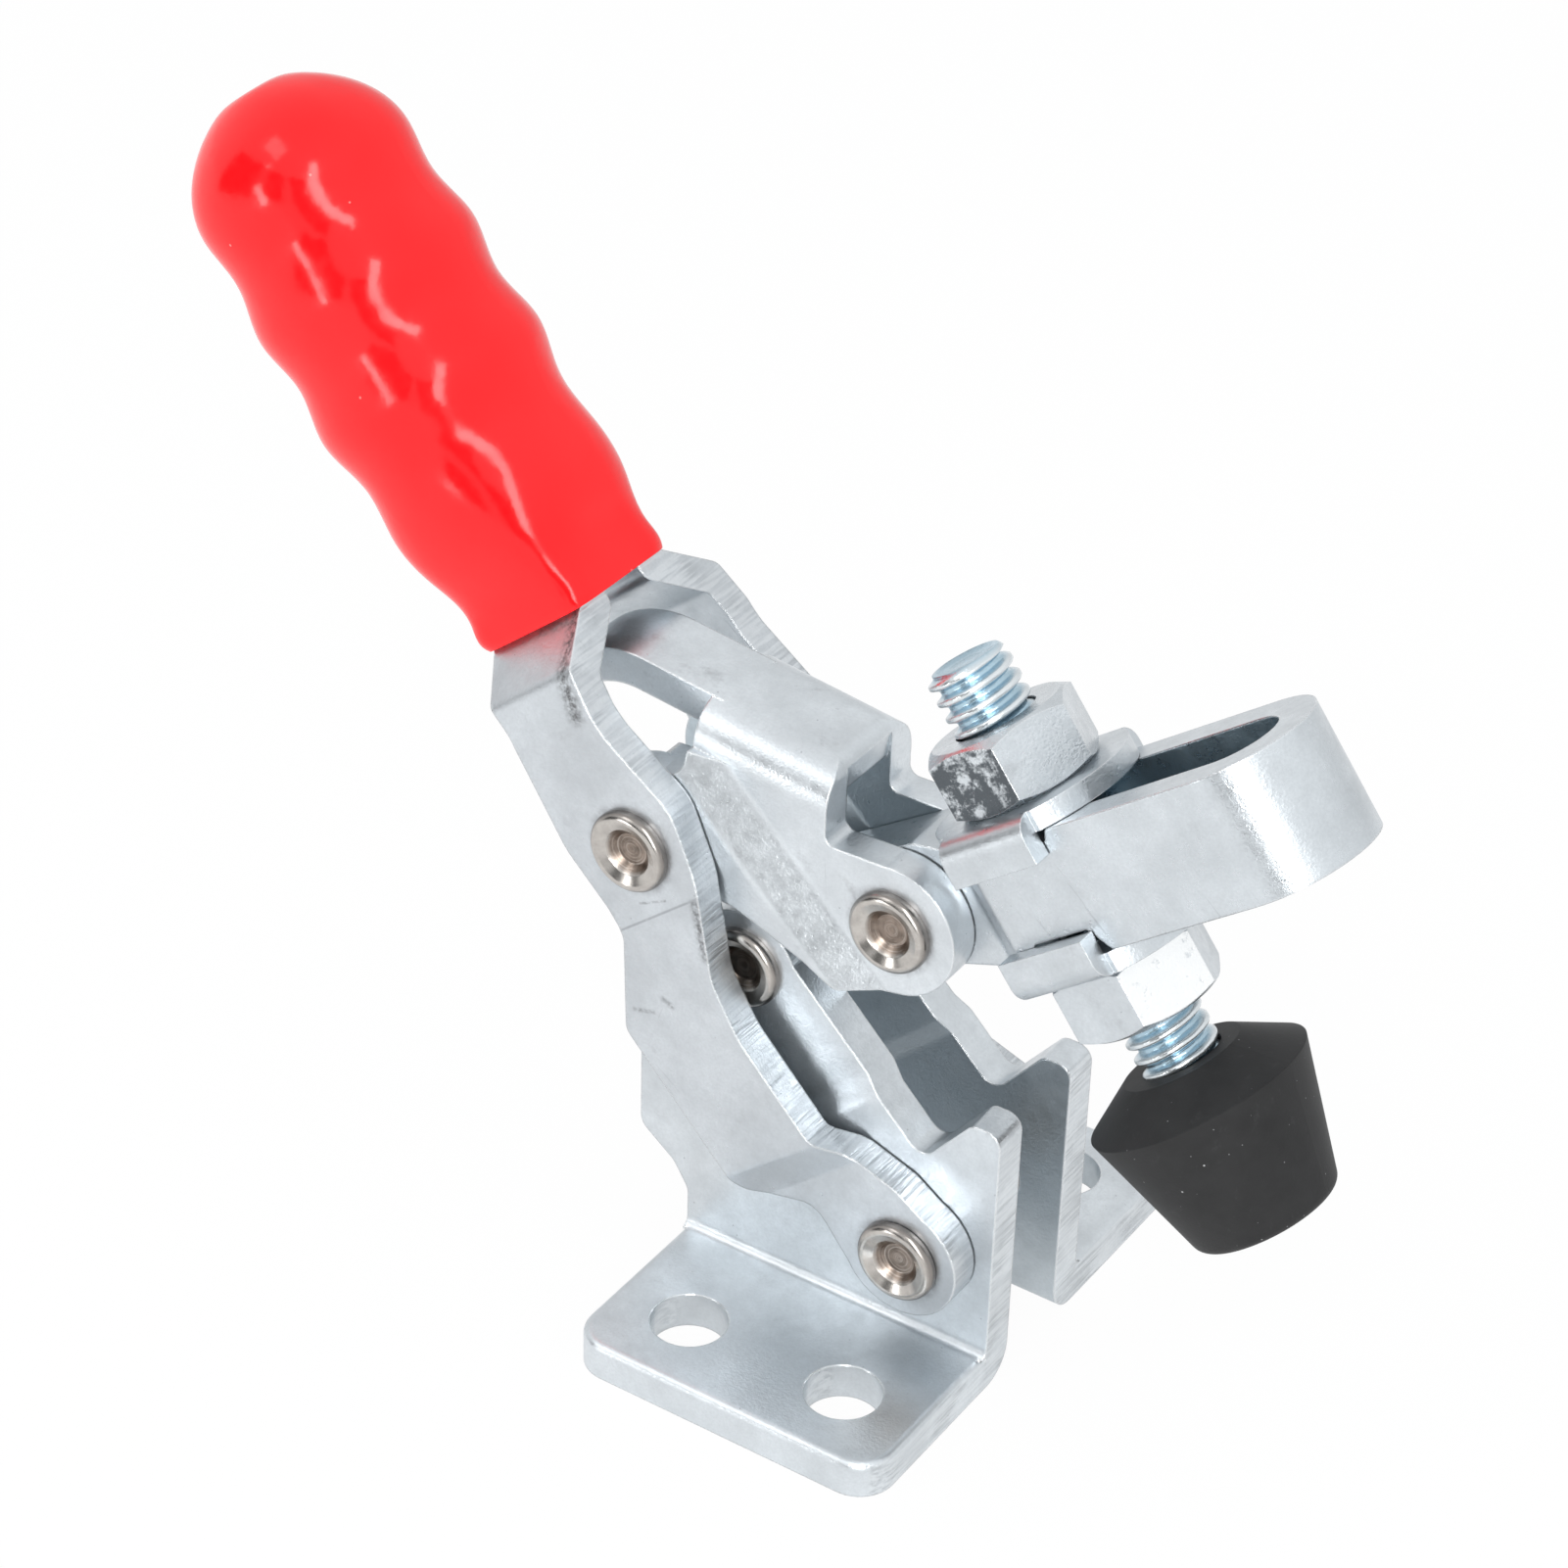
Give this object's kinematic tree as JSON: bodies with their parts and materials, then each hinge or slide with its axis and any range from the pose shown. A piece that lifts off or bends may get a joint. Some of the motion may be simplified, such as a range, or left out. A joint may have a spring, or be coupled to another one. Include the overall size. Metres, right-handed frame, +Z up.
{
  "type": "toggle clamp",
  "caption": "Vertical handle toggle clamp with flanged feet, U-bent arm and adjustable rubber-tipped spindle, shown half open",
  "frame": {"origin": "centre of the four mounting holes, on the underside of the feet", "axes": "+X forwards along the base towards the clamping arm's end, +Y to the left, +Z up from the mounting face"},
  "size_m": [0.0921, 0.0418, 0.0806],
  "materials": {
    "base_zinc": "bright zinc plate",
    "handle_zinc": "bright zinc plate",
    "link_zinc": "bright zinc plate",
    "arm_zinc": "bright zinc plate",
    "washer_zinc": "bright zinc plate",
    "nut_zinc": "bright zinc plate",
    "spindle_zinc": "bright zinc plate",
    "rivet_nickel": "bright plated rivet",
    "grip_red": "glossy moulded",
    "tip_rubber": "moulded rubber"
  },
  "bodies": {
    "base": {"base_plate_left": "base_zinc", "base_plate_right": "base_zinc", "handle_base_rivet_left": "rivet_nickel", "handle_base_rivet_right": "rivet_nickel", "arm_base_rivet_left": "rivet_nickel", "arm_base_rivet_right": "rivet_nickel"},
    "handle": {"handle_plate_left": "handle_zinc", "handle_plate_right": "handle_zinc", "handle_grip": "grip_red", "handle_link_rivet": "rivet_nickel"},
    "link": {"link_bracket": "link_zinc", "link_arm_rivet": "rivet_nickel"},
    "arm": {"clamp_arm": "arm_zinc"},
    "spindle_carrier": {"flanged_washer_upper": "washer_zinc", "flanged_washer_lower": "washer_zinc", "nut_upper": "nut_zinc", "nut_lower": "nut_zinc"},
    "screw": {"spindle": "spindle_zinc", "rubber_tip": "tip_rubber"}
  },
  "joints": [
    {"name": "handle_pivot", "type": "hinge", "parent": "base", "child": "handle", "pos_m": [0.00675, 0, 0.0108], "axis": [0, -1, 0], "range_deg": [-24, 15]},
    {"name": "link_pivot", "type": "hinge", "parent": "handle", "child": "link", "pos_m": [-0.0157, 0, 0.0366], "axis": [0, -1, 0], "range_deg": [-32, 20]},
    {"name": "arm_pivot", "type": "hinge", "parent": "link", "child": "arm", "pos_m": [0.0028, 0, 0.0352], "axis": [0, -1, 0], "range_deg": [-19, 30.5]},
    {"name": "carrier_slide", "type": "slide", "parent": "arm", "child": "spindle_carrier", "axis": [0.7965, 0, 0.6046], "range_m": [0, 0.013]},
    {"name": "spindle_screw", "type": "slide", "parent": "spindle_carrier", "child": "screw", "axis": [-0.6046, 0, 0.7965], "range_m": [-0.0045, 0.0035]}
  ],
  "couplings": [
    {"joint": "link_pivot", "follows": "handle_pivot", "ratio": 1.31},
    {"joint": "arm_pivot", "follows": "handle_pivot", "ratio": -1.25}
  ]
}
